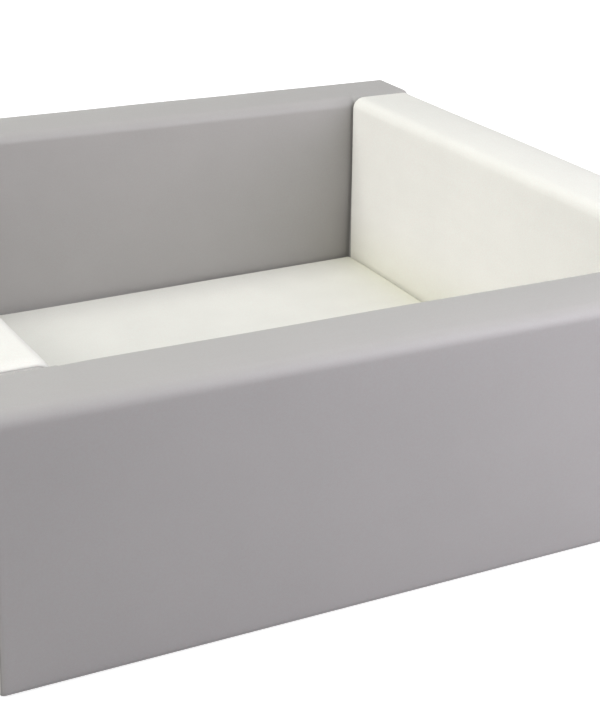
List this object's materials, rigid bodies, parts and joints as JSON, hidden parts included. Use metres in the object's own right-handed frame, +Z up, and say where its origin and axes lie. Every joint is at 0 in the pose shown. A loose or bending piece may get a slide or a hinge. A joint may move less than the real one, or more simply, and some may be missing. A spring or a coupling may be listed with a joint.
{
  "type": "ball pit",
  "caption": "Square soft-play ball pit: padded leatherette foam walls held by hook-and-loop strips round a foam floor mat, each in a zipped cover.",
  "frame": {"origin": "on the floor, under the middle of the pit (bottom centre of the box)", "axes": "+Z up; X along the two long grey walls; the front wall of the picture is at -Y, and the end walls stand between the long walls at -X and +X"},
  "size_m": [1.5, 1.5, 0.45],
  "materials": {
    "grey_leatherette": "satin",
    "cream_leatherette": "satin",
    "foam": "matte",
    "nonslip_fabric": "matte",
    "zip_tape_fabric": "matte",
    "zip_slider_nylon": "satin",
    "hook_tape": "matte",
    "loop_tape": "matte"
  },
  "bodies": {
    "back_wall": {"back_wall_cover": "grey_leatherette", "back_wall_foam_core": "foam", "back_wall_base_panel": "nonslip_fabric", "back_wall_zip_tape_inner": "zip_tape_fabric", "back_wall_zip_tape_outer": "zip_tape_fabric", "back_wall_loop_strip_left": "loop_tape", "back_wall_loop_strip_right": "loop_tape"},
    "front_wall": {"front_wall_cover": "grey_leatherette", "front_wall_foam_core": "foam", "front_wall_base_panel": "nonslip_fabric", "front_wall_zip_tape_inner": "zip_tape_fabric", "front_wall_zip_tape_outer": "zip_tape_fabric", "front_wall_loop_strip_left": "loop_tape", "front_wall_loop_strip_right": "loop_tape"},
    "left_wall": {"left_wall_cover": "cream_leatherette", "left_wall_foam_core": "foam", "left_wall_base_panel": "nonslip_fabric", "left_wall_zip_tape_inner": "zip_tape_fabric", "left_wall_zip_tape_outer": "zip_tape_fabric", "left_wall_hook_strip_front": "hook_tape", "left_wall_hook_strip_back": "hook_tape"},
    "right_wall": {"right_wall_cover": "cream_leatherette", "right_wall_foam_core": "foam", "right_wall_base_panel": "nonslip_fabric", "right_wall_zip_tape_inner": "zip_tape_fabric", "right_wall_zip_tape_outer": "zip_tape_fabric", "right_wall_hook_strip_front": "hook_tape", "right_wall_hook_strip_back": "hook_tape"},
    "floor_mat": {"floor_mat_cover": "cream_leatherette", "floor_mat_foam_core": "foam", "floor_mat_base_panel": "nonslip_fabric", "floor_mat_zip_tape_inner": "zip_tape_fabric", "floor_mat_zip_tape_outer": "zip_tape_fabric"},
    "back_slider": {"back_wall_zip_slider": "zip_slider_nylon"},
    "front_slider": {"front_wall_zip_slider": "zip_slider_nylon"},
    "left_slider": {"left_wall_zip_slider": "zip_slider_nylon"},
    "right_slider": {"right_wall_zip_slider": "zip_slider_nylon"},
    "mat_slider": {"floor_mat_zip_slider": "zip_slider_nylon"}
  },
  "joints": [
    {"name": "front_wall_pull_off", "type": "slide", "parent": "back_wall", "child": "front_wall", "axis": [0, -1, 0], "range_m": [0, 0.3]},
    {"name": "left_wall_pull_off", "type": "slide", "parent": "back_wall", "child": "left_wall", "axis": [-1, 0, 0], "range_m": [0, 0.3]},
    {"name": "right_wall_pull_off", "type": "slide", "parent": "back_wall", "child": "right_wall", "axis": [1, 0, 0], "range_m": [0, 0.3]},
    {"name": "floor_mat_lift_out", "type": "slide", "parent": "back_wall", "child": "floor_mat", "axis": [0, 0, 1], "range_m": [0, 0.5]},
    {"name": "back_zip", "type": "slide", "parent": "back_wall", "child": "back_slider", "axis": [1, 0, 0], "range_m": [0, 1.242]},
    {"name": "front_zip", "type": "slide", "parent": "front_wall", "child": "front_slider", "axis": [-1, 0, 0], "range_m": [0, 1.242]},
    {"name": "left_zip", "type": "slide", "parent": "left_wall", "child": "left_slider", "axis": [0, 1, 0], "range_m": [0, 0.936]},
    {"name": "right_zip", "type": "slide", "parent": "right_wall", "child": "right_slider", "axis": [0, -1, 0], "range_m": [0, 0.936]},
    {"name": "mat_zip", "type": "slide", "parent": "floor_mat", "child": "mat_slider", "axis": [-1, 0, 0], "range_m": [0, 0.941]}
  ]
}
